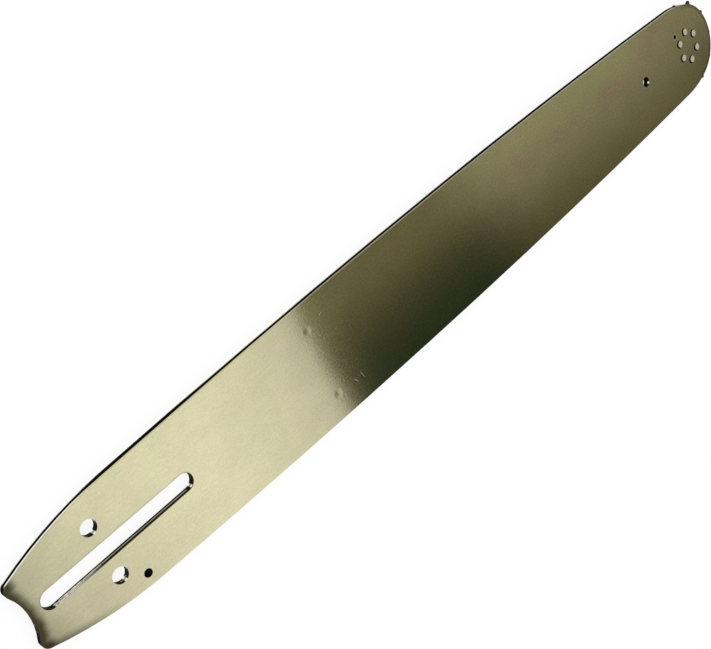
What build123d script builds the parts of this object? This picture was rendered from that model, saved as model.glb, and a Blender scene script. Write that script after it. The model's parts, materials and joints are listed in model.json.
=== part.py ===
"""Laminated guide bar with a sprocket nose, for a chainsaw.

Two outer plates and a thinner-waisted core plate are laminated into a bar with
a chain groove round its edge. At the nose a toothed sprocket turns between the
outer plates, on a full ring of rollers round an inner race that six rivets hold.

Millimetres. The bar lies flat: +X runs from the stud slot to the nose, +Y across
the bar, +Z out of the front face. The origin is the middle of the stud slot.
"""
from build123d import *
import os
from math import asin, cos, hypot, pi, radians, sin, sqrt, tan

# Laminations
plate_thickness = 1.35
core_thickness = 1.5
edge_chamfer = 0.25
groove_depth = 9.0

# Outline: nose and rails. The belly runs from the taper to a little outside the nose
nose_x = 501.4
nose_radius = 27.3
nose_rise = 2.4
shoulder_radius = 66.0
belly_radius = 6020.0

# Outline: tail
taper_x = 8.4
taper_half_width = 30.95
taper_radius = 200.0
notch_x = -50.55
notch_radius = 32.0
horn_radius = 4.0

# Openings for the saw's studs, tensioner pin and oil
slot_length = 89.0
slot_width = 9.4
tensioner_x = -9.1
tensioner_spread = 29.7
tensioner_bore = 8.5
oil_x = 2.1
oil_inset = 6.6
oil_bore = 4.6

# Openings near the nose
hang_hole_to_nose = 53.3
hang_bore = 6.6
grease_angle = 135.0
grease_bore = 2.8

# Nose bearing
rivet_count = 6
rivet_circle_radius = 9.9
rivet_diameter = 4.5
rivet_rise = 0.6
rivet_clearance = 0.03
roller_circle_radius = 16.6
roller_diameter = 4.0
roller_clearance = 0.02
side_clearance = 0.1

# Nose sprocket
tooth_count = 11
tooth_tip_radius = 29.6
tooth_tip_width = 1.3
tooth_flank_angle = 30.0
tooth_root_radius = 2.5
tooth_angle = 59.4
pocket_clearance = 1.0

# Sizes that follow from those above
half_core = core_thickness / 2
half_bar = half_core + plate_thickness
roller_length = core_thickness - 2 * side_clearance
sprocket_thickness = core_thickness - 2 * side_clearance
sprocket_bore_radius = roller_circle_radius + roller_diameter / 2 + roller_clearance
race_radius = roller_circle_radius - roller_diameter / 2 - roller_clearance
roller_count = int(pi / asin((roller_diameter + roller_clearance) / (2 * roller_circle_radius)))
pocket_radius = tooth_tip_radius + pocket_clearance
rivet_hole_radius = rivet_diameter / 2 + rivet_clearance

LEFT = 1
RIGHT = -1


def meeting_point(centre_a, radius_a, centre_b, radius_b, side):
    """The point at two distances from two centres, to one side of the way from a to b."""
    dx = centre_b[0] - centre_a[0]
    dy = centre_b[1] - centre_a[1]
    span = hypot(dx, dy)
    along = (span**2 + radius_a**2 - radius_b**2) / (2 * span)
    aside = side * sqrt(radius_a**2 - along**2)
    return (
        centre_a[0] + (along * dx - aside * dy) / span,
        centre_a[1] + (along * dy + aside * dx) / span,
    )


def toward(start, end, distance):
    """The point at a distance from start, on the way to end and past it."""
    span = hypot(end[0] - start[0], end[1] - start[1])
    share = distance / span
    return (start[0] + share * (end[0] - start[0]), start[1] + share * (end[1] - start[1]))


def on_circle(centre, radius, angle):
    """The point of a circle at an angle in radians from +X."""
    return (centre[0] + radius * cos(angle), centre[1] + radius * sin(angle))


def arc(centre, radius, start, end):
    """The shorter arc of a circle between two of its points."""
    middle = ((start[0] + end[0]) / 2, (start[1] + end[1]) / 2)
    return ThreePointArc(start, toward(centre, middle, radius), end)


def mirrored_face(upper):
    """A face whose upper half is bounded by a chain of curves from the centre line to the centre line."""
    half = Curve() + upper
    return make_face(half + mirror(half, Plane.XZ))


# Centres of the arcs that make up the upper half of the outline.
# The shoulder arc touches the belly and the nose from inside, and the taper arc the belly.
# The horn arc touches the taper from inside and the notch from outside.
taper_start = (taper_x, taper_half_width)
over_nose = (nose_x, nose_radius + nose_rise)
nose_centre = (nose_x, 0.0)
notch_centre = (notch_x - notch_radius, 0.0)
belly_centre = meeting_point(taper_start, belly_radius, over_nose, belly_radius, RIGHT)
taper_centre = toward(taper_start, belly_centre, taper_radius)
shoulder_centre = meeting_point(
    belly_centre, belly_radius - shoulder_radius, nose_centre, shoulder_radius - nose_radius, LEFT
)
horn_centre = meeting_point(
    taper_centre, taper_radius - horn_radius, notch_centre, notch_radius + horn_radius, RIGHT
)

# Points where those arcs meet
nose_tip = (nose_x + nose_radius, 0.0)
nose_end = toward(shoulder_centre, nose_centre, shoulder_radius)
belly_end = toward(belly_centre, shoulder_centre, belly_radius)
taper_end = toward(taper_centre, horn_centre, taper_radius)
notch_end = toward(notch_centre, horn_centre, notch_radius)
notch_bottom = (notch_x, 0.0)


def plate_outline():
    """The bar's full outline: nose, shoulder, belly, taper, horn and tail notch."""
    return mirrored_face([
        arc(nose_centre, nose_radius, nose_tip, nose_end),
        arc(shoulder_centre, shoulder_radius, nose_end, belly_end),
        arc(belly_centre, belly_radius, belly_end, taper_start),
        arc(taper_centre, taper_radius, taper_start, taper_end),
        arc(horn_centre, horn_radius, taper_end, notch_end),
        arc(notch_centre, notch_radius, notch_end, notch_bottom),
    ])


def core_outline():
    """The bar's outline less the groove, flush with the tail notch and clear of the sprocket."""
    belly_inner = belly_radius - groove_depth
    taper_inner = taper_radius - groove_depth
    nose_side = toward(belly_centre, over_nose, belly_inner)
    taper_side = toward(belly_centre, taper_start, belly_inner)
    notch_side = meeting_point(taper_centre, taper_inner, notch_centre, notch_radius, RIGHT)
    waist = mirrored_face([
        Line(nose_centre, nose_side),
        arc(belly_centre, belly_inner, nose_side, taper_side),
        arc(taper_centre, taper_inner, taper_side, notch_side),
        arc(notch_centre, notch_radius, notch_side, notch_bottom),
    ])
    return waist - Pos(nose_x, 0) * Circle(pocket_radius)


def rail_y(x):
    """Half the bar's width at x, on the belly or the tail taper."""
    centre, radius = (belly_centre, belly_radius) if x > taper_x else (taper_centre, taper_radius)
    return centre[1] + sqrt(radius**2 - (x - centre[0])**2)


def stud_slot():
    """The long slot for the saw's studs, cut through all three plates."""
    return SlotOverall(slot_length, slot_width)


def through_holes():
    """Tensioner holes and hanging hole, cut through all three plates."""
    holes = [Pos(tensioner_x, side * tensioner_spread / 2) * Circle(tensioner_bore / 2) for side in (1, -1)]
    return holes + [Pos(nose_x - hang_hole_to_nose, 0) * Circle(hang_bore / 2)]


def feed_holes():
    """The oil hole over the groove and the grease hole over the rollers, cut through one outer plate."""
    oil_place = Pos(oil_x, oil_inset - rail_y(oil_x))
    grease_place = Pos(*on_circle(nose_centre, roller_circle_radius, radians(grease_angle)))
    return [oil_place * Circle(oil_bore / 2), grease_place * Circle(grease_bore / 2)]


def rivet_places():
    """Centres of the rivets, two of them straight across the bar."""
    return Pos(nose_x, 0) * PolarLocations(rivet_circle_radius, rivet_count, start_angle=90)


def rivet_holes():
    """Holes for the rivets, through both outer plates and the race."""
    return [place * Circle(rivet_hole_radius) for place in rivet_places()]


def side_plate():
    """An outer plate, outward face up, with the sharp edge broken round its outline and its slot."""
    blank = extrude(Pos(0, 0, half_core) * (plate_outline() - stud_slot()), plate_thickness)
    plate = chamfer(blank.faces().sort_by(Axis.Z)[-1].edges(), edge_chamfer)
    holes = through_holes() + feed_holes() + rivet_holes()
    return plate - [extrude(Pos(0, 0, half_core) * hole, plate_thickness) for hole in holes]


def core_plate():
    """The centre plate, which sets the groove's depth and width."""
    outline = core_outline() - stud_slot() - through_holes()
    return extrude(Pos(0, 0, -half_core) * outline, core_thickness)


def inner_race():
    """The fixed disc that the rollers run round."""
    outline = Pos(nose_x, 0) * Circle(race_radius) - rivet_holes()
    return extrude(Pos(0, 0, -half_core) * outline, core_thickness)


def rivet():
    """One solid rivet through both outer plates and the race, its flat ends standing a little proud."""
    return Cylinder(rivet_diameter / 2, 2 * (half_bar + rivet_rise))


def gullet():
    """The rounded notch between two teeth, pointing along +X from the sprocket's middle."""
    half_pitch = pi / tooth_count
    half_angle = radians(tooth_flank_angle) + half_pitch
    corner_angle = half_pitch - asin(tooth_tip_width / 2 / tooth_tip_radius)
    corner = on_circle((0, 0), tooth_tip_radius, corner_angle)
    apex = corner[0] - corner[1] / tan(half_angle)
    reach = 2 * tooth_tip_radius
    notch = make_face(Polyline(
        (apex, 0),
        on_circle((apex, 0), reach, half_angle),
        on_circle((apex, 0), reach, -half_angle),
        close=True,
    ))
    return fillet(notch.vertices().sort_by(Axis.X)[0], tooth_root_radius)


def sprocket():
    """The nose sprocket, at rest with one tooth at its stated angle."""
    first_gullet = tooth_angle + 180 / tooth_count
    outline = Circle(tooth_tip_radius) - Circle(sprocket_bore_radius)
    outline -= [turn * gullet() for turn in PolarLocations(0, tooth_count, start_angle=first_gullet)]
    return extrude(Pos(nose_x, 0, -sprocket_thickness / 2) * outline, sprocket_thickness)


def rollers():
    """The full ring of rollers between the race and the sprocket's bore."""
    places = Pos(nose_x, 0) * PolarLocations(roller_circle_radius, roller_count)
    return [place * Cylinder(roller_diameter / 2, roller_length) for place in places]


def write(name, shape):
    """Write one node of the bar to its own file."""
    export_step(shape, os.path.join("parts", name + ".step"))


os.makedirs("parts", exist_ok=True)
front_plate = side_plate()
write("side_plate_front", front_plate)
write("side_plate_back", Rot(180, 0, 0) * front_plate)
write("core_plate", core_plate())
write("nose_sprocket", sprocket())
write("bearing_inner_race", inner_race())
write("nose_rivets", Compound(children=[place * rivet() for place in rivet_places()]))
for number, roller in enumerate(rollers(), start=1):
    write(f"bearing_roller_{number:02d}", roller)
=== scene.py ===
"""Looks of a laminated chainsaw guide bar: satin plates, dark rails, peened rivets and a small studio."""
import bpy
import json
from bpy.props import FloatProperty, FloatVectorProperty, IntProperty, PointerProperty
from functools import reduce
from math import cos, pi, radians, sin
from typing import NamedTuple
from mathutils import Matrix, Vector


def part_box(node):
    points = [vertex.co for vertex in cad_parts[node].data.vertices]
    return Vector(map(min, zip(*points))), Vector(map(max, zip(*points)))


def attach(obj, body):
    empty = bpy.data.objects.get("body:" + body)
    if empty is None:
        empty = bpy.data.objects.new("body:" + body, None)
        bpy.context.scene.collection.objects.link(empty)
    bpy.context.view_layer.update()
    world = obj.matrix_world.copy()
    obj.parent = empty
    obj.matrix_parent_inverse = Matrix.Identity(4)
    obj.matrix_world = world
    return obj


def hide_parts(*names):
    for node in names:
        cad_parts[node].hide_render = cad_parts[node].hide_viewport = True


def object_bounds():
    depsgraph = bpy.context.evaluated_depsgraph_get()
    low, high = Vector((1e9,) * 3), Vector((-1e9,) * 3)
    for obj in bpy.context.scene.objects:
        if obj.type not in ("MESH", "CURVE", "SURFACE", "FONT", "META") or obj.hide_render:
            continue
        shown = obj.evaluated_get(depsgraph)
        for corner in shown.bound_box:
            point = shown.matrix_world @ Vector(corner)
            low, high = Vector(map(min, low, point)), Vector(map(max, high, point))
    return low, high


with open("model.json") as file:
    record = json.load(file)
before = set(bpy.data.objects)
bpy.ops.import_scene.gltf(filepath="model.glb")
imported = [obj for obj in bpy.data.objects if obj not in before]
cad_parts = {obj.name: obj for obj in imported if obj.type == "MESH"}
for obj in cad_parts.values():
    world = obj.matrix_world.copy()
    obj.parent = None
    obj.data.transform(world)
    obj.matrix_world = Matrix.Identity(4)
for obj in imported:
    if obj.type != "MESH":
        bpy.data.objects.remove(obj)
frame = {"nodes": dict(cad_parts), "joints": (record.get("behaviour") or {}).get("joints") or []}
cad_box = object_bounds()

bl_info = {
    "name": "Guide Bar Looks",
    "version": (1, 0, 0),
    "blender": (4, 5, 0),
    "location": "3D View > Sidebar > Guide Bar",
    "description": "Finishes, rivets and studio for a laminated chainsaw guide bar",
    "category": "Object",
}

WHITE = (1, 1, 1, 1)
nose_centre = frame["joints"][0]["pos_m"]
rivets_low, rivets_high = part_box("nose_rivets")

# Lengths are in metres. Where nothing else is said, two numbers are the start and the end of a stretch
# over which one look gives way to the next. Four are such a stretch with the values at its start and at
# its end, and two pairs are the stretches over which a look comes in and goes out again.


def length_value(name, description, default):
    """A length that a user can change."""
    return FloatProperty(name=name, description=description, default=default, unit="LENGTH", precision=5)


def point_value(name, description, default):
    """A place on the bar, or the centre and radius of an arc, that a user can change."""
    return FloatVectorProperty(
        name=name, description=description, default=default,
        size=3, subtype="XYZ", unit="LENGTH", precision=5)


def colour_value(name, description, default):
    """An opaque colour that a user can change."""
    return FloatVectorProperty(
        name=name, description=description, default=(*default, 1), size=4, subtype="COLOR", min=0, max=1)


class BarSizes(bpy.types.PropertyGroup):
    """Sizes and places on the bar that the finishes and the rivets follow."""

    taper_arc: point_value(
        "Taper Arc", "Centre and radius of the tail taper, in the upper half", (0.01608, -0.16890, 0.200))
    belly_arc: point_value(
        "Belly Arc", "Centre and radius of the long rail, in the upper half", (0.23965, -5.98460, 6.020))
    shoulder_arc: point_value(
        "Shoulder Arc", "Centre and radius of the shoulder by the nose, in the upper half",
        (0.48653, -0.03573, 0.066))
    nose_arc: point_value("Nose Arc", "Centre and radius of the nose", (0.50140, 0.0, 0.0273))
    notch_arc: point_value("Notch Arc", "Centre and radius of the tail notch", (-0.08255, 0.0, 0.032))
    rail_start: length_value("Rail Start", "Where the tail taper ends and the long rail starts", 0.0084)
    nose_start: length_value("Nose Start", "Where the shoulder ends and the nose starts", 0.5119)
    horn_tip: point_value("Horn Tips", "Tips of the two horns beside the notch", (-0.05316, 0.01816, 0.0))
    notch_shade: length_value("Notch Shade", "How far the heat tint reaches in from the tail notch", 0.0068)
    slot_straight: length_value("Slot Straight", "Half the length of the stud slot's straight sides", 0.0398)
    slot_radius: length_value("Slot Radius", "Radius of the stud slot's round ends", 0.0047)
    weld_place: point_value(
        "Welds", "Place of the weld marks, one on either side of the centre line", (0.1362, 0.0202, 0.0))
    weld_radius: length_value("Weld Radius", "Radius of a weld mark", 0.0032)
    rivet_count: IntProperty(name="Rivets", description="Number of nose rivets", default=6, min=3)
    rivet_radius: length_value("Rivet Radius", "Radius of a nose rivet", 0.00225)
    rivet_circle: length_value("Rivet Circle", "Radius of the circle that the rivets stand on", 0.0099)
    rivet_rim: length_value("Rivet Rim", "Width of the rounded rim of a peened rivet head", 0.00018)
    rivet_dish: length_value("Rivet Dish", "Depth of the hammered dish in a rivet head", 0.00008)


class BarFinish(bpy.types.PropertyGroup):
    """Colours of the bar's surfaces."""

    plate_colour: colour_value("Plate", "Satin steel of the outer plates", (0.775, 0.73, 0.473))
    green_tint: colour_value("Green Tint", "Faint green patches in the satin steel", (0.66, 0.68, 0.40))
    rose_tint: colour_value("Rose Tint", "Faint reddish patches in the satin steel", (0.78, 0.61, 0.45))
    glint_colour: colour_value("Glint", "Lightest specks of the satin steel", (1.0, 0.95, 0.62))
    # Dark tint of the grain, the streaks, the weld marks and the band round the tail notch; also the colour
    # of the painted shade at the rims, edges and horns
    dark_tint_and_shade_colour: colour_value(
        "Heat Tint", "Dark tint that hardening leaves round the tail notch", (0.060, 0.045, 0.018))
    # Black that paints the shade on the upright walls, the core, the sprocket's flanks and the rivets' sides,
    # round the rivets, in the holes and between the plates; also the dark of the grain
    black_and_shade_colour: colour_value("Rail", "Black hardened steel of the upright walls", (0.005, 0.0045, 0.0035))
    # Bright bare steel of the edges round the tail, brightened as a painted highlight, and the colour of the
    # painted glints on the hole walls
    bright_edge_and_highlight_colour: colour_value("Bare Edge", "Bright steel of the edge round the tail", (0.93, 0.91, 0.84))
    # Darker steel of the broken edges, painted shade where the face mirrors the dark half
    shaded_edge_colour: colour_value(
        "Dull Edge", "Duller steel of the broken edge along the rails and the nose", (0.40, 0.37, 0.26))
    core_colour: colour_value("Core", "Ground steel of the core plate where it is bare", (0.40, 0.38, 0.27))
    scuff_colour: colour_value(
        "Scuff", "Steel scuffed bright in the slot's tail end and in scratches", (0.78, 0.75, 0.66))
    sprocket_colour: colour_value("Sprocket", "Dark hardened steel of the sprocket", (0.075, 0.070, 0.055))
    rubbed_colour: colour_value("Rubbed", "Steel rubbed lighter on the teeth's faces", (0.42, 0.40, 0.34))
    bearing_colour: colour_value("Bearing", "Ground steel of the race and the rollers", (0.60, 0.60, 0.58))
    # Dark grease that also paints the shade inside the nose bearing
    grease_and_shade_colour: colour_value("Grease", "Grease film in the nose bearing", (0.030, 0.018, 0.007))
    rivet_colour: colour_value("Rivet", "Peened steel of the rivet heads", (0.60, 0.56, 0.41))


class StudioSettings(bpy.types.PropertyGroup):
    """Camera, light and backdrop of the studio."""

    camera_place: FloatVectorProperty(
        name="Camera", description="Place of the camera", size=3, subtype="TRANSLATION", unit="LENGTH",
        default=(-0.10765, 0.25247, 0.43556), precision=5)
    camera_turn: FloatVectorProperty(
        name="Camera Turn", description="Turn of the camera", size=3, subtype="EULER",
        default=(radians(-7.8481), radians(-39.6797), radians(-30.1773)))
    lens: FloatProperty(
        name="Lens", description="Focal length in millimetres on a sensor 36 mm wide", default=54.52)
    world_light: FloatProperty(
        name="Room Light", description="Brightness of the white room", default=0.95, min=0)
    key_power: FloatProperty(
        name="Key Light", description="Power of the soft light overhead, in watts", default=5.0, min=0)
    panel_height: length_value("Panel Height", "Height of the panel that the face mirrors", 0.6)
    panel_edge: length_value("Panel Edge", "Where the panel's bright half gives way to its dark half", 0.4735)
    panel_middle: length_value("Panel Middle", "Line on the panel that the centre line mirrors", -0.347)
    panel_peak: length_value("Panel Peak", "Where the panel's bright half is brightest", 0.262)
    ceiling_height: length_value("Ceiling Height", "Height of the ceiling mirrored in other views", 0.9)
    ceiling_tone: colour_value("Ceiling Shade", "Ceiling at its dark end, past the nose", (0.30, 0.295, 0.28))
    bright_tone: colour_value("Bright Half", "Tone of the bright half at its outer end", (0.44, 0.44, 0.46))
    dark_tone: colour_value("Dark Half", "Hue of the dark half", (1.0, 0.95, 0.60))
    near_tone: colour_value("Near Edge", "Hue of the dark half beside the bright half", (1.0, 0.90, 0.26))
    far_tone: colour_value("Far End", "Hue that the dark half gains towards the nose", (1.0, 0.97, 0.81))
    low_tone: colour_value("Dark Floor", "Least tone of the dark half", (0.0075, 0.0070, 0.0040))
    green_low_tone: colour_value(
        "Green Floor", "Least tone of the dark half's lower side in its middle", (0.019, 0.034, 0.018))
    warm_low_tone: colour_value(
        "Warm Floor", "Least tone of the dark half's lower side at its two ends", (0.030, 0.0285, 0.0145))
    olive_filter: colour_value("Olive", "Filter over the dark half's upper side", (0.95, 1.0, 0.93))
    amber_filter: colour_value("Amber", "Filter over the dark half's lower side", (1.0, 0.95, 0.80))
    rose_filter: colour_value("Rose", "Filter over patches of the dark half", (1.0, 0.62, 0.86))
    floor_colour: colour_value("Floor", "Colour of the floor", (0.90, 0.90, 0.90))
    floor_glow: FloatProperty(
        name="Floor Glow", description="How much of the floor shows plain white", default=0.85, min=0, max=1)


class Spot(NamedTuple):
    """One long spot: its middle, its turn, half its length and half its width."""

    middle: tuple
    turn: float
    half_length: float
    half_width: float


# Soft edge of a spot, as shares of the way from its middle to its rim
SPOT_EDGE = (0.4, 1.0)


class NodeDesk:
    """Adds nodes to one node tree and links or sets their inputs."""

    def __init__(self, tree):
        self.tree = tree

    def feed(self, socket, value):
        """Link a socket into an input, or set a plain value on it."""
        if isinstance(value, bpy.types.NodeSocket):
            self.tree.links.new(value, socket)
        else:
            socket.default_value = value

    def add(self, kind, inputs=(), **settings):
        """A new node with its settings and its inputs."""
        node = self.tree.nodes.new(kind)
        for name, value in settings.items():
            setattr(node, name, value)
        for name, value in dict(inputs).items():
            self.feed(node.inputs[name], value)
        return node

    def math(self, operation, *values):
        """The result of a math node."""
        node = self.add("ShaderNodeMath", operation=operation)
        for socket, value in zip(node.inputs, values):
            self.feed(socket, value)
        return node.outputs[0]

    def size(self, value):
        """A value without its sign."""
        return self.math("ABSOLUTE", value)

    def less(self, value, other):
        """A value less another."""
        return self.math("SUBTRACT", value, other)

    def times(self, value, factor):
        """A value times a factor."""
        return self.math("MULTIPLY", value, factor)

    def line(self, value, slope, start):
        """A start plus a value times a slope."""
        return self.math("MULTIPLY_ADD", value, slope, start)

    def ramp(self, value, low, high, start=0.0, end=1.0):
        """A smooth step from start to end while value goes from low to high."""
        inputs = {"Value": value, "From Min": low, "From Max": high, "To Min": start, "To Max": end}
        return self.add("ShaderNodeMapRange", inputs, interpolation_type="SMOOTHSTEP").outputs["Result"]

    def fade(self, value, low, high, start=1.0):
        """A smooth step from start to nothing while value goes from low to high."""
        return self.ramp(value, low, high, start, 0.0)

    def between(self, value, rise, fall):
        """A mask that rises over one stretch of a value and falls over a later one."""
        return self.both(self.ramp(value, *rise), self.fade(value, *fall))

    def both(self, *masks):
        """Where all of these masks are set."""
        return reduce(self.times, masks)

    def either(self, *masks):
        """Where one of these masks is set."""
        return reduce(lambda first, second: self.math("MAXIMUM", first, second), masks)

    def outside(self, mask):
        """Where a mask isn't set."""
        return self.less(1.0, mask)

    def mix(self, share, first, second, blend_type="MIX"):
        """A colour between first and second, by the colour sockets of a Mix node."""
        node = self.add("ShaderNodeMix", data_type="RGBA", blend_type=blend_type)
        for index, value in ((0, share), (6, first), (7, second)):
            self.feed(node.inputs[index], value)
        return node.outputs[2]

    def tint(self, share, colour, filter_colour):
        """A colour as seen through a filter."""
        return self.mix(share, colour, filter_colour, "MULTIPLY")

    def stain(self, colour, mask, share, stain_colour):
        """A colour with a share of another where a mask is set."""
        return self.mix(self.times(mask, share), colour, stain_colour)

    def blend(self, share, first, second):
        """A value between first and second, by the value sockets of a Mix node."""
        node = self.add("ShaderNodeMix", data_type="FLOAT")
        for index, value in ((0, share), (2, first), (3, second)):
            self.feed(node.inputs[index], value)
        return node.outputs[0]

    def noise(self, place, scale, detail, roughness=0.5):
        """Soft noise over a place."""
        inputs = {"Vector": place, "Scale": scale, "Detail": detail, "Roughness": roughness}
        return self.add("ShaderNodeTexNoise", inputs).outputs[0]

    def glow(self, colour):
        """A surface that glows in a colour."""
        return self.add("ShaderNodeEmission", {"Color": colour, "Strength": 1.0}).outputs[0]

    def whole_place(self):
        """The place on the object, as one vector."""
        return self.add("ShaderNodeTexCoord").outputs["Object"]

    def place(self):
        """The place on the object, as x, y and z."""
        return self.add("ShaderNodeSeparateXYZ", {"Vector": self.whole_place()}).outputs

    def reach(self, across, along):
        """The length of a flat vector."""
        flat = self.add("ShaderNodeCombineXYZ", {"X": across, "Y": along}).outputs[0]
        return self.add("ShaderNodeVectorMath", {0: flat}, operation="LENGTH").outputs["Value"]

    def inside(self, place, arc):
        """How far inside an arc a place lies, the same on both sides of the centre line."""
        along = self.less(place["X"], arc[0])
        across = self.less(self.size(place["Y"]), arc[1])
        return self.less(arc[2], self.reach(along, across))

    def spot(self, place, spot):
        """The mask of one spot, with a soft edge."""
        along = self.less(place["X"], spot.middle[0])
        across = self.less(place["Y"], spot.middle[1])
        first = self.line(across, sin(spot.turn), self.times(along, cos(spot.turn)))
        second = self.line(along, -sin(spot.turn), self.times(across, cos(spot.turn)))
        first_share = self.math("DIVIDE", first, spot.half_length)
        second_share = self.math("DIVIDE", second, spot.half_width)
        return self.fade(self.reach(first_share, second_share), *SPOT_EDGE)

    def spots(self, place, spots):
        """The mask of several spots."""
        return self.either(*[self.spot(place, spot) for spot in spots])

    def group(self, tree, **inputs):
        """A shared effect, placed with its own values."""
        node = self.add("ShaderNodeGroup", node_tree=tree)
        for name, value in inputs.items():
            self.feed(node.inputs[name.title()], value)
        return node.outputs


def new_group(name, inputs, outputs):
    """An empty shader group with named value sockets, its desk, its inputs and its outputs."""
    tree = bpy.data.node_groups.new(name, "ShaderNodeTree")
    for label in inputs:
        tree.interface.new_socket(label, in_out="INPUT", socket_type="NodeSocketFloat")
    for label in outputs:
        tree.interface.new_socket(label, in_out="OUTPUT", socket_type="NodeSocketFloat")
    desk = NodeDesk(tree)
    start = desk.add("NodeGroupInput")
    end = desk.add("NodeGroupOutput")
    return tree, desk, start.outputs, end.inputs


# Contrast of the grain and of the clouds, as stretches of their noise
GRAIN_CONTRAST = (0.3, 0.7)
CLOUD_CONTRAST = (0.35, 0.65)


def grain_group():
    """Fine brushed grain along one way, as a tone and a height."""
    if "Brushed Grain" in bpy.data.node_groups:
        return bpy.data.node_groups["Brushed Grain"]
    tree, desk, given, result = new_group("Brushed Grain", ["Along", "Across"], ["Tone", "Height"])
    scale = desk.add(
        "ShaderNodeCombineXYZ", {"X": given["Along"], "Y": given["Across"], "Z": given["Across"]}).outputs[0]
    stretched = desk.add("ShaderNodeMapping", {"Vector": desk.whole_place(), "Scale": scale}).outputs[0]
    coarse = desk.noise(stretched, scale=1.0, detail=3.0, roughness=0.6)
    fine = desk.noise(stretched, scale=4.3, detail=2.0, roughness=0.6)
    desk.feed(result["Tone"], desk.ramp(coarse, *GRAIN_CONTRAST))
    desk.feed(result["Height"], desk.math("ADD", coarse, fine))
    return tree


def cloud_group():
    """Soft cloudy patches, as a mask."""
    if "Cloudy Patches" in bpy.data.node_groups:
        return bpy.data.node_groups["Cloudy Patches"]
    tree, desk, given, result = new_group("Cloudy Patches", ["Scale", "Shift"], ["Mask"])
    inputs = {0: desk.whole_place(), 1: given["Shift"]}
    moved = desk.add("ShaderNodeVectorMath", inputs, operation="ADD").outputs[0]
    cloud = desk.noise(moved, scale=given["Scale"], detail=3.0, roughness=0.55)
    desk.feed(result["Mask"], desk.ramp(cloud, *CLOUD_CONTRAST))
    return tree


# How level a face is, from upright walls through broken edges to the flat faces
WALL_LEVEL = (0.25, 0.45)
EDGE_LEVEL = ((0.45, 0.60), (0.80, 0.95))


def wall_group():
    """Masks of the upright walls and of the broken edges."""
    if "Walls and Edges" in bpy.data.node_groups:
        return bpy.data.node_groups["Walls and Edges"]
    tree, desk, _, result = new_group("Walls and Edges", [], ["Wall", "Edge"])
    normal = desk.add("ShaderNodeNewGeometry").outputs["True Normal"]
    level = desk.size(desk.add("ShaderNodeSeparateXYZ", {"Vector": normal}).outputs["Z"])
    desk.feed(result["Wall"], desk.fade(level, *WALL_LEVEL))
    desk.feed(result["Edge"], desk.between(level, *EDGE_LEVEL))
    return tree


def new_material(name):
    """A node material, its desk and its shader."""
    material = bpy.data.materials.new(name)
    material.use_nodes = True
    desk = NodeDesk(material.node_tree)
    return material, desk, material.node_tree.nodes["Principled BSDF"].inputs


def rivet_distance(desk, sizes, shift=0.0):
    """Distance on the face from the nearest rivet's middle, moved by a shift towards the tail."""
    place = desk.place()
    along = desk.less(place["X"], nose_centre[0] - shift)
    across = desk.less(place["Y"], nose_centre[1])
    step = 2 * pi / sizes.rivet_count
    turn = desk.math("ARCTAN2", across, along)
    fold = desk.math("FLOORED_MODULO", desk.math("ADD", turn, step / 2 - pi / 2), step)
    folded = desk.less(fold, step / 2)
    out = desk.reach(along, across)
    near = desk.less(desk.times(out, desk.math("COSINE", folded)), sizes.rivet_circle)
    return desk.reach(near, desk.times(out, desk.math("SINE", folded)))


def outline_depth(desk, place, sizes):
    """How far inside the bar's outline a place lies."""
    depth = desk.inside(place, sizes.taper_arc)
    later = (
        (sizes.rail_start, sizes.belly_arc),
        (sizes.shoulder_arc[0], sizes.shoulder_arc),
        (sizes.nose_start, sizes.nose_arc),
    )
    for start, arc in later:
        depth = desk.blend(desk.math("GREATER_THAN", place["X"], start), depth, desk.inside(place, arc))
    return depth


def weld_marks(desk, place, sizes):
    """The mask of the pair of weld marks."""
    arc = (sizes.weld_place[0], sizes.weld_place[1], sizes.weld_radius)
    return desk.ramp(desk.inside(place, arc), 0.0, sizes.weld_radius)


# How strongly the layers of the satin steel show; the specks are grain, stronger towards the nose as painted
# sparkle where the face mirrors the dark half
GREEN_SHARE = 0.35
ROSE_SHARE = 0.12
SPECK_SHARE = (0.09, 0.24, 0.075, 0.17)
STREAK_SHARE = 0.06
DULL_SHARE = 0.05


def plate_tints(desk, place, finish):
    """Colour of satin steel, with faint tints, specks, brushed streaks and dull patches, and its grain."""
    green = desk.group(cloud_group(), scale=30.0, shift=0.3)["Mask"]
    rose = desk.group(cloud_group(), scale=24.0, shift=1.7)["Mask"]
    dull = desk.group(cloud_group(), scale=62.0, shift=0.9)["Mask"]
    grain = desk.group(grain_group(), along=750.0, across=950.0)
    streaks = desk.group(grain_group(), along=180.0, across=1300.0)
    colour = desk.stain(finish.plate_colour, green, GREEN_SHARE, finish.green_tint)
    colour = desk.stain(colour, rose, ROSE_SHARE, finish.rose_tint)
    speck = desk.mix(grain["Tone"], finish.dark_tint_and_shade_colour, finish.glint_colour)
    colour = desk.mix(desk.ramp(place["X"], *SPECK_SHARE), colour, speck)
    colour = desk.stain(colour, streaks["Tone"], STREAK_SHARE, finish.dark_tint_and_shade_colour)
    return desk.stain(colour, dull, DULL_SHARE, finish.dark_tint_and_shade_colour), grain


# Dark weld marks on a plate's face, and painted shade at the rims of the tail's lower side, the slot's upper
# side and the nose
WELD_SHADE = 0.16
LOWER_SIDE = (-0.004, 0.0)
TAIL_RIM_SHADE = 0.66
TAIL_RIM_WIDTH = 0.0048
TAIL_RIM_END = (-0.044, -0.006)
SLOT_RIM_SHADE = 0.16
SLOT_RIM = (0.0003, 0.0014)
SLOT_UPPER_SIDE = (0.0, 0.003)
NOSE_RIM_SHADE = 0.70
NOSE_RIM_WIDTH = 0.0034
NOSE_RIM_START = (0.500, 0.512)


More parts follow.
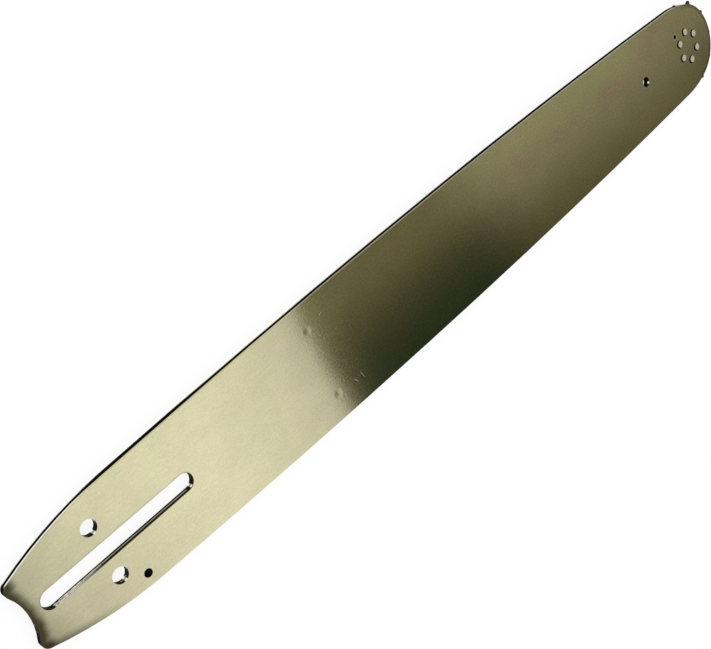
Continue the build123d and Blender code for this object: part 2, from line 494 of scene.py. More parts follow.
def painted_rim_shades(desk, place, depth, colour, sizes, finish):
    """A plate's colour with painted shade along the tail's lower rim, the slot's upper rim and the nose rim.
    """
    tail_rim = desk.both(
        desk.fade(depth, 0.0, TAIL_RIM_WIDTH), desk.fade(place["X"], *TAIL_RIM_END),
        desk.fade(place["Y"], *LOWER_SIDE))
    past_straight = desk.math("MAXIMUM", desk.less(desk.size(place["X"]), sizes.slot_straight), 0.0)
    from_slot = desk.less(desk.reach(past_straight, place["Y"]), sizes.slot_radius)
    slot_rim = desk.both(desk.fade(from_slot, *SLOT_RIM), desk.ramp(place["Y"], *SLOT_UPPER_SIDE))
    nose_rim = desk.both(desk.fade(depth, 0.0, NOSE_RIM_WIDTH), desk.ramp(place["X"], *NOSE_RIM_START))
    colour = desk.stain(colour, tail_rim, TAIL_RIM_SHADE, finish.dark_tint_and_shade_colour)
    colour = desk.stain(colour, slot_rim, SLOT_RIM_SHADE, finish.dark_tint_and_shade_colour)
    return desk.stain(colour, nose_rim, NOSE_RIM_SHADE, finish.dark_tint_and_shade_colour)


# Dark band round the tail notch, narrower across its middle, a fainter dark halo round notch and horns, and
# painted shade near the horns, stronger on the lower side
NOTCH_BAND_SHADE = 0.93
NOTCH_BAND_FULL_WIDTH = 0.0016
NOTCH_BAND_UNEVENNESS = 0.0004
NOTCH_BAND_NARROWS = (-0.007, -0.001, 0.0002, 0.0014)
NOTCH_BAND_WIDENS = (0.008, 0.015, 1.0, 0.2)
HALO_SHADE = 0.30
HALO_WIDTH = 0.0105
HORN_ROUNDING = 0.0006
HORN_SHADE_REACH = 0.022
UPPER_HORN_SHADE = 0.10
LOWER_HORN_SHADE = 0.34


def notch_tint(desk, place, colour, sizes, finish):
    """A plate's colour with the dark band round the tail notch and its horns, and painted shade near the
    horns.
    """
    from_notch = desk.times(desk.inside(place, sizes.notch_arc), -1.0)
    from_horn = desk.times(desk.inside(place, (sizes.horn_tip[0], sizes.horn_tip[1], 0.0)), -1.0)
    near = desk.math("MINIMUM", from_notch, desk.less(from_horn, HORN_ROUNDING))
    uneven = desk.group(cloud_group(), scale=330.0, shift=0.2)["Mask"]
    near = desk.line(uneven, NOTCH_BAND_UNEVENNESS, desk.less(near, NOTCH_BAND_UNEVENNESS / 2))
    horn_shade = desk.blend(desk.fade(place["Y"], *LOWER_SIDE), UPPER_HORN_SHADE, LOWER_HORN_SHADE)
    horns = desk.both(desk.fade(from_horn, 0.0, HORN_SHADE_REACH), horn_shade)
    halo = desk.fade(near, 0.0, HALO_WIDTH, HALO_SHADE)
    colour = desk.mix(desk.either(horns, halo), colour, finish.dark_tint_and_shade_colour)
    narrower = desk.both(desk.ramp(place["Y"], *NOTCH_BAND_NARROWS), desk.ramp(place["Y"], *NOTCH_BAND_WIDENS))
    notch_band = desk.fade(desk.math("ADD", near, narrower), NOTCH_BAND_FULL_WIDTH, sizes.notch_shade, NOTCH_BAND_SHADE)
    return desk.mix(notch_band, colour, finish.dark_tint_and_shade_colour)


def plate_face(desk, place, depth, sizes, finish):
    """Colour of a plate's face, with weld marks, painted shade at the rims, a dark band round the notch, and
    its grain.
    """
    colour, grain = plate_tints(desk, place, finish)
    colour = desk.stain(colour, weld_marks(desk, place, sizes), WELD_SHADE, finish.dark_tint_and_shade_colour)
    colour = painted_rim_shades(desk, place, depth, colour, sizes, finish)
    return notch_tint(desk, place, colour, sizes, finish), grain


# Broken edges of a plate, brighter round the tail as painted highlight and darker towards the nose as painted
# shade, and the bare walls beside them, which paint the highlight along the edge: the front plate's from a
# foot up whose height changes along the bar, and the back plate's on the tail and on part of the rail
EDGE_DEPTH = (0.0007, 0.0010)
TAIL_END = (-0.012, 0.010)
OFF_NOTCH = (-0.0055, -0.0025)
EDGE_DULLS = (0.125, 0.145)
BARE_FOOT = (-0.010, 0.008, 0.00075, 0.0014)
BARE_FOOT_DROP = (0.03, 0.12, 0.0, 0.0003)
BARE_FOOT_BLUR = 0.0002
BACK_BARE_RAIL = ((0.05, 0.09), (0.23, 0.29))
BACK_BARE_TOP = (-0.0014, -0.0012)


def plate_edges(desk, place, depth, face, sizes, finish):
    """Colour of the bare steel at a plate's broken edges, with painted highlight round the tail and painted
    shade towards the nose, and masks of its outline and of the bare walls that paint the highlight.
    """
    at_edge = desk.fade(depth, *EDGE_DEPTH)
    on_tail = desk.fade(place["X"], *TAIL_END)
    off_notch = desk.fade(desk.inside(place, sizes.notch_arc), *OFF_NOTCH)
    bare = desk.mix(desk.ramp(place["X"], *EDGE_DULLS), face, finish.shaded_edge_colour)
    bare = desk.mix(desk.both(on_tail, at_edge, off_notch), bare, finish.bright_edge_and_highlight_colour)
    foot = desk.less(desk.ramp(place["X"], *BARE_FOOT), desk.ramp(place["X"], *BARE_FOOT_DROP))
    front = desk.ramp(desk.less(place["Z"], foot), 0.0, BARE_FOOT_BLUR)
    on_rail = desk.between(place["X"], *BACK_BARE_RAIL)
    back = desk.both(desk.either(on_tail, on_rail), desk.fade(place["Z"], *BACK_BARE_TOP))
    return bare, at_edge, desk.both(desk.either(front, back), at_edge, off_notch)


# Painted shade on a plate: round the rivets, more on their tail side, in and round the grease hole, and on
# the inner faces
RIVET_PAINTED_SHADE = (0.0005, 0.0008)
RIVET_SHADE_SHIFT = 0.0006
INNER_FACE = (0.00076, 0.00080)
GREASE_HOLE_SHADE = Spot((0.4897, 0.0117), 0.0, 0.0026, 0.0026)


def plate_painted_shade(desk, place, on_front, sizes):
    """The mask of the painted shade round the rivets, in and round the grease hole and between the plates."""
    from_rivet = desk.less(rivet_distance(desk, sizes, RIVET_SHADE_SHIFT), sizes.rivet_radius)
    hole_shade = desk.both(on_front, desk.spot(place, GREASE_HOLE_SHADE))
    inner = desk.fade(desk.size(place["Z"]), *INNER_FACE)
    return desk.either(desk.fade(from_rivet, *RIVET_PAINTED_SHADE), hole_shade, inner)


# Relief of a plate's face: its depth, and the weld dips and the grain against a slow swell
PLATE_RELIEF = 0.00006
WELD_DIP = -0.30
GRAIN_RELIEF = 0.045


def plate_relief(desk, place, grain, sizes):
    """The normal of a plate's face: a slow swell, the weld dips and fine grain."""
    swell = desk.noise(desk.whole_place(), scale=22.0, detail=1.0)
    height = desk.line(weld_marks(desk, place, sizes), WELD_DIP, swell)
    height = desk.line(grain["Tone"], GRAIN_RELIEF, height)
    inputs = {"Height": height, "Strength": 1.0, "Distance": PLATE_RELIEF}
    return desk.add("ShaderNodeBump", inputs).outputs[0]


# Roughness of each finish: how much its grain or its film adds, and its least
PLATE_ROUGHNESS = (0.02, 0.085)
CORE_ROUGHNESS = (0.12, 0.40)
SPROCKET_ROUGHNESS = (0.15, 0.28)
BEARING_ROUGHNESS = (0.15, 0.18)
RIVET_ROUGHNESS = (0.12, 0.44)
SCRATCH_ROUGHNESS = 0.25
WALL_ROUGHNESS = 0.4
BLACK_SPECULAR = 0.02

# Painted shade on the broken edges, the scuffed tail end of the slot, painted glints on the walls of the slot
# and the holes, and scratches on a plate
TAIL_EDGE_SHADE = 0.25
RAIL_EDGE_SHADE = (0.20, 0.40, 0.6, 0.3)
FRONT_PLATE = (0.0005, 0.0008)
NEAR_STUDS = (0.10, 0.12)
SLOT_SIDES = (0.0052, 0.0056)
SLOT_SCUFF = ((-0.0402, -0.0392), (-0.034, -0.010))
SLOT_SCUFF_GRAIN = (0.0, 0.6, 0.4, 1.0)
# Painted glints where the walls of the slot's nose end, the tensioner holes and the hanging hole would mirror
# the light
PAINTED_GLINTS = (
    Spot((0.0420, -0.0042), 0.0, 0.0010, 0.0010),
    Spot((-0.0079, 0.0108), 0.0, 0.0011, 0.0011),
    Spot((-0.0079, -0.0189), 0.0, 0.0011, 0.0011),
    Spot((0.4509, -0.0017), 0.0, 0.0010, 0.0010),
)
SCRATCHES = (
    Spot((0.1496, -0.0214), radians(-60), 0.0022, 0.00020),
    Spot((0.1548, -0.0214), radians(-75), 0.0030, 0.00020),
    Spot((0.1475, 0.0230), radians(20), 0.0018, 0.00018),
)


def plate_steel(sizes, finish):
    """Satin steel with broken edges, black walls of painted shade with bare highlights, and painted shade
    round the rivets and between the plates.
    """
    material, desk, shader = new_material("plate_steel_satin")
    walls = desk.group(wall_group())
    place = desk.place()
    depth = outline_depth(desk, place, sizes)
    face, grain = plate_face(desk, place, depth, sizes, finish)
    bare, at_edge, bare_highlight_wall = plate_edges(desk, place, depth, face, sizes, finish)
    on_front = desk.ramp(place["Z"], *FRONT_PLATE)

    # Painted shade on the broken edges: a little on the tail, more where the face mirrors the dark half
    # towards the nose
    shaded = desk.either(
        desk.fade(place["X"], *TAIL_END, TAIL_EDGE_SHADE),
        desk.both(desk.ramp(place["X"], *EDGE_DULLS), desk.ramp(place["X"], *RAIL_EDGE_SHADE)))
    slot_end = desk.both(
        desk.fade(desk.size(place["Y"]), *SLOT_SIDES), desk.between(place["X"], *SLOT_SCUFF))
    slot_edge = desk.mix(slot_end, finish.dark_tint_and_shade_colour, face)
    broken = desk.mix(at_edge, slot_edge, desk.mix(shaded, face, finish.dark_tint_and_shade_colour))

    scuffed = desk.both(slot_end, on_front, desk.ramp(grain["Tone"], *SLOT_SCUFF_GRAIN))
    # Painted glints on the hole walls, fixed bright spots that stand in for a mirrored light
    painted_glint = desk.both(
        walls["Wall"], desk.spots(place, PAINTED_GLINTS),
        desk.either(on_front, desk.fade(place["X"], *NEAR_STUDS)))
    # Walls: black as painted shade, bare where they paint the highlight along the edge, and bright at the
    # painted glints
    wall = desk.mix(scuffed, finish.black_and_shade_colour, finish.scuff_colour)
    wall = desk.mix(bare_highlight_wall, wall, bare)
    wall = desk.mix(painted_glint, wall, finish.bright_edge_and_highlight_colour)

    scratched = desk.both(on_front, desk.spots(place, SCRATCHES))
    # Painted shade round the rivets, in the grease hole and between the plates
    painted_shade = plate_painted_shade(desk, place, on_front, sizes)
    colour = desk.mix(walls["Edge"], face, broken)
    colour = desk.mix(walls["Wall"], colour, wall)
    colour = desk.mix(scratched, colour, finish.scuff_colour)
    colour = desk.mix(painted_shade, colour, finish.black_and_shade_colour)
    black_wall = desk.both(walls["Wall"], desk.outside(desk.either(bare_highlight_wall, painted_glint)))
    black = desk.either(painted_shade, black_wall)
    gloss = desk.line(scratched, SCRATCH_ROUGHNESS, desk.line(grain["Tone"], *PLATE_ROUGHNESS))
    gloss = desk.line(desk.either(black, walls["Edge"]), WALL_ROUGHNESS, gloss)

    desk.feed(shader["Base Color"], colour)
    desk.feed(shader["Metallic"], desk.outside(black))
    desk.feed(shader["Roughness"], gloss)
    desk.feed(shader["Normal"], plate_relief(desk, place, grain, sizes))
    shader["Specular IOR Level"].default_value = BLACK_SPECULAR
    return material


# Bare band round the core plate's slot, its scuffed tail end, and flecks in the holes beside it
CORE_SLOT_SIDES = (0.0050, 0.0060)
CORE_SLOT_STRAIGHT = ((-0.0405, -0.0390), (0.0385, 0.0400))
CORE_BAND = (0.0002, 0.0006)
CORE_BAND_GRAIN = (0.0, 0.5, 0.5, 0.9)
CORE_FLECKS = (0.50, 0.80)
CORE_SCUFF_END = (-0.030, -0.004)
CORE_SCUFF_GRAIN = (0.1, 0.6)


def core_steel(finish):
    """Core plate in black painted shade, with a bare band round the slot, scuffed bright at the slot's tail
    end, and painted glints in the holes.
    """
    material, desk, shader = new_material("core_steel_ground")
    place = desk.place()
    grain = desk.group(grain_group(), along=420.0, across=2400.0)
    cloud = desk.group(cloud_group(), scale=420.0, shift=0.6)
    near_studs = desk.fade(place["X"], *NEAR_STUDS)
    slot = desk.both(desk.fade(desk.size(place["Y"]), *CORE_SLOT_SIDES), near_studs)
    straight = desk.both(slot, desk.between(place["X"], *CORE_SLOT_STRAIGHT))
    band = desk.both(
        straight, desk.fade(desk.size(place["Z"]), *CORE_BAND), desk.ramp(grain["Tone"], *CORE_BAND_GRAIN))
    scuff = desk.both(
        straight, desk.fade(place["X"], *CORE_SCUFF_END), desk.ramp(grain["Tone"], *CORE_SCUFF_GRAIN))
    # Bare flecks in the holes, and the painted glints on their walls
    flecks = desk.either(
        desk.both(desk.less(near_studs, slot), desk.ramp(cloud["Mask"], *CORE_FLECKS)),
        desk.both(near_studs, desk.spots(place, PAINTED_GLINTS)))
    bare = desk.either(band, flecks)
    colour = desk.mix(bare, finish.black_and_shade_colour, finish.core_colour)
    desk.feed(shader["Base Color"], desk.mix(scuff, colour, finish.scuff_colour))
    desk.feed(shader["Metallic"], desk.either(bare, scuff))
    desk.feed(shader["Roughness"], desk.line(grain["Tone"], *CORE_ROUGHNESS))
    shader["Specular IOR Level"].default_value = BLACK_SPECULAR
    return material


# Rubbed faces of the sprocket's teeth, by distance from the nose centre, and its dark grain
RUBBED_TEETH = (0.024, 0.030)
RUBBED_SHARE = 0.2
SPROCKET_GRAIN = 0.3


def sprocket_steel(finish):
    """Dark hardened steel, rubbed on the teeth's faces, with black painted shade on their flanks."""
    material, desk, shader = new_material("sprocket_steel_hardened")
    grain = desk.group(grain_group(), along=700.0, across=700.0)
    walls = desk.group(wall_group())
    place = desk.place()
    out = desk.reach(desk.less(place["X"], nose_centre[0]), place["Y"])
    rubbed = desk.ramp(out, *RUBBED_TEETH)
    face = desk.stain(finish.sprocket_colour, rubbed, RUBBED_SHARE, finish.rubbed_colour)
    face = desk.stain(face, grain["Tone"], SPROCKET_GRAIN, finish.black_and_shade_colour)
    # The teeth's flanks take the black as painted shade
    desk.feed(shader["Base Color"], desk.mix(walls["Wall"], face, finish.black_and_shade_colour))
    desk.feed(shader["Roughness"], desk.line(grain["Tone"], *SPROCKET_ROUGHNESS))
    shader["Metallic"].default_value = 1.0
    return material


# Dark grain of the bearing's steel, and its film of grease, dark enough to paint the shade inside the nose
BEARING_GRAIN = 0.12
GREASE_FILM = (0.0, 0.6, 0.8, 1.0)


def bearing_steel(finish):
    """Ground bearing steel with a smeared film of grease that also paints the shade inside the nose."""
    material, desk, shader = new_material("bearing_steel_greased")
    grain = desk.group(grain_group(), along=1200.0, across=1200.0)
    cloud = desk.group(cloud_group(), scale=260.0)
    colour = desk.stain(finish.bearing_colour, grain["Tone"], BEARING_GRAIN, finish.black_and_shade_colour)
    colour = desk.mix(desk.ramp(cloud["Mask"], *GREASE_FILM), colour, finish.grease_and_shade_colour)
    desk.feed(shader["Base Color"], colour)
    desk.feed(shader["Roughness"], desk.line(cloud["Mask"], *BEARING_ROUGHNESS))
    desk.feed(shader["Coat Weight"], cloud["Mask"])
    shader["Metallic"].default_value = 1.0
    return material


# Pits, painted shade on the rim, metal share and relief of a rivet head
RIVET_GRAIN = 0.22
RIVET_RIM_SHADE = 0.6
RIVET_RIM_REACH = 0.0002
RIVET_METAL = 0.45
RIVET_RELIEF = {"Strength": 0.5, "Distance": 0.00003}


def rivet_steel(sizes, finish):
    """Peened steel: dull and pitted on the heads, with black painted shade on their sides and rims."""
    material, desk, shader = new_material("rivet_steel_peened")
    walls = desk.group(wall_group())
    grain = desk.group(grain_group(), along=1500.0, across=1500.0)
    colour = desk.stain(finish.rivet_colour, grain["Tone"], RIVET_GRAIN, finish.black_and_shade_colour)
    # Black painted shade on the head's sides and rim, the dark crescent round it
    rim = desk.ramp(rivet_distance(desk, sizes), sizes.rivet_radius - RIVET_RIM_REACH, sizes.rivet_radius)
    side = desk.either(walls["Wall"], desk.times(rim, RIVET_RIM_SHADE))
    desk.feed(shader["Base Color"], desk.mix(side, colour, finish.black_and_shade_colour))
    desk.feed(shader["Metallic"], desk.line(side, -RIVET_METAL, RIVET_METAL))
    desk.feed(shader["Roughness"], desk.line(grain["Tone"], *RIVET_ROUGHNESS))
    shader["Specular IOR Level"].default_value = BLACK_SPECULAR
    bump = desk.add("ShaderNodeBump", {"Height": grain["Height"], **RIVET_RELIEF})
    desk.feed(shader["Normal"], bump.outputs[0])
    return material


def dress(node, material):
    """Give a part of the frame its finish."""
    piece = frame["nodes"][node]
    piece.data.materials.clear()
    piece.data.materials.append(material)


class GUIDEBAR_OT_dress_plates(bpy.types.Operator):
    """Give both outer plates their satin finish"""

    bl_idname = "guide_bar.dress_plates"
    bl_label = "Dress Outer Plates"

    def execute(self, context):
        material = plate_steel(context.scene.bar_sizes, context.scene.bar_finish)
        for node in ("side_plate_front", "side_plate_back"):
            dress(node, material)
        return {"FINISHED"}


class GUIDEBAR_OT_dress_core(bpy.types.Operator):
    """Give the core plate its ground finish"""

    bl_idname = "guide_bar.dress_core"
    bl_label = "Dress Core Plate"

    def execute(self, context):
        dress("core_plate", core_steel(context.scene.bar_finish))
        return {"FINISHED"}


class GUIDEBAR_OT_dress_sprocket(bpy.types.Operator):
    """Give the nose sprocket its hardened finish"""

    bl_idname = "guide_bar.dress_sprocket"
    bl_label = "Dress Nose Sprocket"

    def execute(self, context):
        dress("nose_sprocket", sprocket_steel(context.scene.bar_finish))
        return {"FINISHED"}


class GUIDEBAR_OT_dress_bearing(bpy.types.Operator):
    """Give the race and the rollers their greased finish"""

    bl_idname = "guide_bar.dress_bearing"
    bl_label = "Dress Nose Bearing"

    def execute(self, context):
        material = bearing_steel(context.scene.bar_finish)
        for node in frame["nodes"]:
            if node.startswith("bearing_"):
                dress(node, material)
        return {"FINISHED"}


# Sides and smoothing of a rivet, the steps of its rim, the two insets that its dish is hammered into, and
# how level and how near the end a face must be to count as the end's
RIVET_SIDES = 48
RIVET_SMOOTHING = radians(40)
RIM_STEPS = 4
DISH_INSETS = (0.0006, 0.0008)
END_LEVEL = 0.999
END_TOLERANCE = 1e-5


def select_faces(test):
    """In edit mode, select the faces that pass a test, and nothing else."""
    bpy.ops.mesh.select_all(action="DESELECT")
    bpy.ops.object.mode_set(mode="OBJECT")
    for face in bpy.context.object.data.polygons:
        face.select = test(face)
    bpy.ops.object.mode_set(mode="EDIT")


def shape_rivet_end(sizes, way):
    """Round one end of a rivet and hammer a shallow dish into it."""
    least = rivets_high.z - END_TOLERANCE
    select_faces(lambda face: face.normal.z * way > END_LEVEL)
    bpy.ops.mesh.bevel(offset=sizes.rivet_rim, segments=RIM_STEPS, affect="EDGES")
    select_faces(lambda face: face.normal.z * way > END_LEVEL and abs(face.center.z) > least)
    for inset in DISH_INSETS:
        bpy.ops.mesh.inset(thickness=inset)
    bpy.ops.transform.translate(value=(0, 0, -way * sizes.rivet_dish))


def model_rivet(sizes):
    """One rivet at the origin, peened at both ends."""
    height = rivets_high.z - rivets_low.z
    bpy.ops.object.select_all(action="DESELECT")
    bpy.ops.mesh.primitive_cylinder_add(
        vertices=RIVET_SIDES, radius=sizes.rivet_radius, depth=height, location=(0, 0, 0))
    rivet = bpy.context.object
    bpy.ops.object.mode_set(mode="EDIT")
    shape_rivet_end(sizes, 1)
    shape_rivet_end(sizes, -1)
    bpy.ops.object.mode_set(mode="OBJECT")
    bpy.ops.object.shade_smooth_by_angle(angle=RIVET_SMOOTHING)
    return rivet


def copy_rivet(rivet, number, sizes):
    """A copy of the rivet at its place round the nose centre, the first straight across the bar."""
    bpy.ops.object.select_all(action="DESELECT")
    rivet.select_set(True)
    bpy.context.view_layer.objects.active = rivet
    bpy.ops.object.duplicate()
    turn = pi / 2 + number * 2 * pi / sizes.rivet_count
    x = nose_centre[0] + sizes.rivet_circle * cos(turn)
    y = nose_centre[1] + sizes.rivet_circle * sin(turn)
    bpy.context.object.location = (x, y, 0)
    return bpy.context.object


class GUIDEBAR_OT_add_rivets(bpy.types.Operator):
    """Model one peened nose rivet and copy it round the nose"""

    bl_idname = "guide_bar.add_rivets"
    bl_label = "Add Nose Rivets"

    def execute(self, context):
        sizes = context.scene.bar_sizes
        first = model_rivet(sizes)
        copies = [copy_rivet(first, number, sizes) for number in range(sizes.rivet_count)]
        bpy.data.objects.remove(first)
        for piece in copies:
            piece.select_set(True)
        context.view_layer.objects.active = copies[0]
        bpy.ops.object.transform_apply(location=True, rotation=True, scale=True)
        bpy.ops.object.join()
        rivets = context.object
        rivets.name = "peened_rivets"
        rivets.data.materials.clear()
        rivets.data.materials.append(rivet_steel(sizes, context.scene.bar_finish))
        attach(rivets, "bar")
        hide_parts("nose_rivets")
        return {"FINISHED"}


# Tones of the mirrored panel, by place along it and by distance aside of its middle line
BRIGHT_SLANT = 0.35
BRIGHT_REACH = 0.40
EDGE_SLANT = 0.0875
SIDE_SHARE = (-0.09, 0.20, 0.0, 0.33)
SIDE_DIMS = (0.045, 0.10, 1.0, 0.65)
NEAR_REACH = 0.07
NEAR_SHARE = 0.045
FAR_SHARE = (0.735, 0.92, 0.0, 0.16)
FAR_UPPER_SLANT = 0.6
FAR_LOWER_SLANT = 0.3
FAR_DIMS = (1.22, 1.40, 1.0, 0.66)
FAR_DIMS_SLANT = 0.8
FAR_TILT = 3.6
LOW_SIDE = (-0.06, -0.02)
LOW_SIDE_END = (0.90, 1.25)
LOW_SIDE_LOSS = 0.3
LEAST_RISE = (-0.065, -0.005)

# Tints of the panel's dark half
GREEN_STRETCH = ((0.512, 0.535), (0.795, 0.815))
GREEN_GAP = Spot((0.589, -0.400), 0.0, 0.020, 0.040)
GREEN_GAP_LOSS = 0.8
OLIVE_STRETCH = ((0.79, 1.10), (1.195, 1.265))
OLIVE_SIDE = (0.014, 0.052)
AMBER_START = (0.77, 0.86)
AMBER_SIDE = (-0.048, -0.014)
ROSE_PATCHES = (
    Spot((0.905, -0.314), 0.0, 0.032, 0.012),
    Spot((0.987, -0.319), 0.0, 0.018, 0.012),
    Spot((1.029, -0.314), 0.0, 0.018, 0.012),
    Spot((1.143, -0.319), radians(-3), 0.068, 0.011),
    Spot((1.228, -0.303), radians(90), 0.030, 0.016),
    Spot((1.263, -0.282), 0.0, 0.044, 0.014),
    Spot((1.338, -0.289), 0.0, 0.014, 0.009),
)


def bright_half(desk, place, aside, studio):
    """Tone of the panel's bright half, white at its peak and duller away from it."""
    before_peak = desk.less(studio.panel_peak, desk.line(aside, BRIGHT_SLANT, place["X"]))
    from_peak = desk.math("MAXIMUM", before_peak, desk.less(place["X"], studio.panel_peak))
    return desk.mix(desk.ramp(from_peak, 0.0, BRIGHT_REACH), WHITE, studio.bright_tone)


def least_tone(desk, place, aside, studio):
    """Least tone of the panel's dark half, with a lower side that is green between two warm ends."""
    gap = desk.line(desk.spot(place, GREEN_GAP), -GREEN_GAP_LOSS, 1.0)
    green = desk.both(desk.between(place["X"], *GREEN_STRETCH), gap)
    lower_side = desk.mix(green, studio.warm_low_tone, studio.green_low_tone)
    return desk.mix(desk.ramp(aside, *LEAST_RISE), lower_side, studio.low_tone)


def dark_half(desk, place, aside, past_edge, studio):
    """Tone of the panel's dark half, lighter to one side, beside the bright half and towards the nose."""
    side = desk.both(desk.ramp(aside, *SIDE_SHARE), desk.ramp(aside, *SIDE_DIMS))
    near = desk.fade(past_edge, 0.0, NEAR_REACH, NEAR_SHARE)
    slant = desk.math("MAXIMUM", desk.times(aside, FAR_UPPER_SLANT), desk.times(aside, FAR_LOWER_SLANT))
    low_side = desk.both(desk.fade(aside, *LOW_SIDE), desk.fade(place["X"], *LOW_SIDE_END))
    far = desk.both(
        desk.ramp(desk.math("ADD", place["X"], slant), *FAR_SHARE),
        desk.ramp(desk.line(aside, FAR_DIMS_SLANT, place["X"]), *FAR_DIMS),
        desk.line(aside, FAR_TILT, 1.0),
        desk.line(low_side, -LOW_SIDE_LOSS, 1.0))
    dark = desk.mix(side, least_tone(desk, place, aside, studio), studio.dark_tone)
    dark = desk.mix(near, dark, studio.near_tone)
    return desk.mix(far, dark, studio.far_tone)


def tinted_half(desk, place, aside, dark, studio):
    """The dark half's tone under its olive, amber and rose filters."""
    olive = desk.both(desk.between(place["X"], *OLIVE_STRETCH), desk.ramp(aside, *OLIVE_SIDE))
    amber = desk.both(desk.ramp(place["X"], *AMBER_START), desk.fade(aside, *AMBER_SIDE))
    dark = desk.tint(olive, dark, studio.olive_filter)
    dark = desk.tint(amber, dark, studio.amber_filter)
    return desk.tint(desk.spots(place, ROSE_PATCHES), dark, studio.rose_filter)


def panel_surface(desk, studio):
    """What the face mirrors in the main view: a bright half and a dark half that meet at a slanting edge."""
    place = desk.place()
    aside = desk.less(place["Y"], studio.panel_middle)
    past_edge = desk.less(desk.line(aside, EDGE_SLANT, place["X"]), studio.panel_edge)
    bright = bright_half(desk, place, aside, studio)
    dark = dark_half(desk, place, aside, past_edge, studio)
    dark = tinted_half(desk, place, aside, dark, studio)
    return desk.glow(desk.mix(desk.math("GREATER_THAN", past_edge, 0.0), bright, dark))


# Corners of the panel and of the ceiling, and the stretch over which the ceiling darkens
PANEL_CORNERS = ((-0.6, -0.95), (2.0, 0.15))
CEILING_CORNERS = ((-3.0, -3.0), (3.5, 3.0))
CEILING_DARKENS = (-0.5, 1.1)


def ceiling_surface(desk, studio):
    """What the face mirrors in other views: a light ceiling that darkens past the nose."""
    return desk.glow(desk.mix(desk.ramp(desk.place()["X"], *CEILING_DARKENS), WHITE, studio.ceiling_tone))


def seen_plainly(desk):
    """Where the camera looks, straight or in a mirror or through glass."""
    path = desk.add("ShaderNodeLightPath").outputs
    return desk.either(path["Is Camera Ray"], path["Is Glossy Ray"], path["Is Transmission Ray"])


def floor_surface(desk, studio):
    """A floor that the camera and mirrors see near white, and that keeps shadows."""
    diffuse = desk.add("ShaderNodeBsdfDiffuse", {"Color": studio.floor_colour}).outputs[0]
    share = desk.times(seen_plainly(desk), studio.floor_glow)
    return desk.add("ShaderNodeMixShader", {0: share, 1: diffuse, 2: desk.glow(WHITE)}).outputs[0]


def stage_material(name, surface, studio):
    """A material of the studio, with the surface that a function makes."""
    material = bpy.data.materials.new(name)
    material.use_nodes = True
    material.node_tree.nodes.clear()
    desk = NodeDesk(material.node_tree)
    end = desk.add("ShaderNodeOutputMaterial")
    desk.feed(end.inputs["Surface"], surface(desk, studio))
    return material


# Size and middle of the floor, place and size of the key light, the camera's sensor and nearest view
FLOOR_SIZE = 6.0
FLOOR_MIDDLE = (0.22, 0)
KEY_PLACE = (0.1, 0.3, 1.4)
KEY_SIZE = (1.4, 1.0)
SENSOR_WIDTH = 36.0
NEAREST_VIEW = 0.01


def add_floor(studio):
    """The floor that the bar lies on."""
    bpy.ops.object.select_all(action="DESELECT")
    bpy.ops.mesh.primitive_plane_add(size=FLOOR_SIZE, location=(*FLOOR_MIDDLE, cad_box[0][2]))
    floor = bpy.context.object
    floor.name = "studio_floor"
    bpy.ops.object.transform_apply(location=True, rotation=True, scale=True)
    floor.data.materials.append(stage_material("studio_floor_white", floor_surface, studio))


def add_panel(name, corners, height, material):
    """A level panel between two corners, which only mirrors see."""
    low, high = corners
    bpy.ops.object.select_all(action="DESELECT")
    bpy.ops.mesh.primitive_plane_add(
        size=1.0, location=((low[0] + high[0]) / 2, (low[1] + high[1]) / 2, height))
    panel = bpy.context.object
    panel.name = name
    panel.scale = (high[0] - low[0], high[1] - low[1], 1)
    bpy.ops.object.transform_apply(location=True, rotation=True, scale=True)
    panel.data.materials.append(material)
    panel.visible_camera = False
    panel.visible_diffuse = False
    panel.visible_shadow = False


def add_room(scene, studio):
    """A white room, which the camera and mirrors see at full white."""
    world = bpy.data.worlds.new("studio_room")
    scene.world = world
    world.use_nodes = True
    desk = NodeDesk(world.node_tree)
    room = world.node_tree.nodes["Background"].inputs
    room["Color"].default_value = WHITE
    desk.feed(room["Strength"], desk.ramp(seen_plainly(desk), 0.0, 1.0, studio.world_light, 1.0))


def add_key(studio):
    """A wide soft light overhead, which mirrors don't see."""
    bpy.ops.object.light_add(type="AREA", location=KEY_PLACE)
    key = bpy.context.object
    key.name = "studio_key"
    key.data.shape = "RECTANGLE"
    key.data.size, key.data.size_y = KEY_SIZE
    key.data.energy = studio.key_power
    key.visible_glossy = False


def add_camera(scene, studio):
    """The camera of the main view."""
    bpy.ops.object.camera_add(location=studio.camera_place, rotation=studio.camera_turn)
    camera = bpy.context.object
    camera.name = "studio_camera"
    camera.data.sensor_fit = "HORIZONTAL"
    camera.data.sensor_width = SENSOR_WIDTH
    camera.data.lens = studio.lens
    camera.data.clip_start = NEAREST_VIEW
    scene.camera = camera


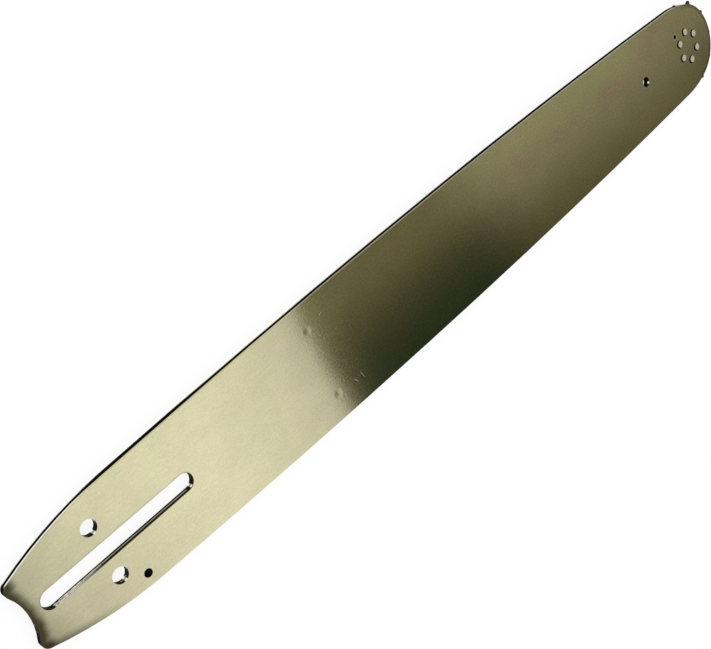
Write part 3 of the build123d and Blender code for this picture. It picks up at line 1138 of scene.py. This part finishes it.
class GUIDEBAR_OT_set_stage(bpy.types.Operator):
    """Set up the floor, the mirrored panels, the room, the light and the camera"""

    bl_idname = "guide_bar.set_stage"
    bl_label = "Set Stage"

    def execute(self, context):
        scene = context.scene
        studio = scene.studio
        scene.view_settings.view_transform = "Standard"
        add_floor(studio)
        glow = stage_material("studio_panel_glow", panel_surface, studio)
        add_panel("studio_panel", PANEL_CORNERS, studio.panel_height, glow)
        glow = stage_material("studio_ceiling_glow", ceiling_surface, studio)
        add_panel("studio_ceiling", CEILING_CORNERS, studio.ceiling_height, glow)
        add_room(scene, studio)
        add_key(studio)
        add_camera(scene, studio)
        return {"FINISHED"}


class GUIDEBAR_PT_looks(bpy.types.Panel):
    """Steps and values of the bar's looks"""

    bl_label = "Guide Bar"
    bl_idname = "GUIDEBAR_PT_looks"
    bl_space_type = "VIEW_3D"
    bl_region_type = "UI"
    bl_category = "Guide Bar"

    def draw(self, context):
        for step in STEPS:
            self.layout.operator(step.bl_idname)
        for group in (context.scene.bar_sizes, context.scene.bar_finish, context.scene.studio):
            box = self.layout.box()
            for name in group.__annotations__:
                box.prop(group, name)


STEPS = (
    GUIDEBAR_OT_dress_plates,
    GUIDEBAR_OT_dress_core,
    GUIDEBAR_OT_dress_sprocket,
    GUIDEBAR_OT_dress_bearing,
    GUIDEBAR_OT_add_rivets,
    GUIDEBAR_OT_set_stage,
)
GROUPS = {"bar_sizes": BarSizes, "bar_finish": BarFinish, "studio": StudioSettings}


def register():
    """Register the value groups, the steps and the sidebar panel."""
    for name, group in GROUPS.items():
        bpy.utils.register_class(group)
        setattr(bpy.types.Scene, name, PointerProperty(type=group))
    for kind in (*STEPS, GUIDEBAR_PT_looks):
        bpy.utils.register_class(kind)


def unregister():
    """Take back all that register added."""
    for kind in (GUIDEBAR_PT_looks, *STEPS):
        bpy.utils.unregister_class(kind)
    for name, group in GROUPS.items():
        delattr(bpy.types.Scene, name)
        bpy.utils.unregister_class(group)


def main():
    """Run every step in order."""
    register()
    bpy.ops.guide_bar.dress_plates()
    bpy.ops.guide_bar.dress_core()
    bpy.ops.guide_bar.dress_sprocket()
    bpy.ops.guide_bar.dress_bearing()
    bpy.ops.guide_bar.add_rivets()
    bpy.ops.guide_bar.set_stage()


if __name__ == "__main__":
    main()
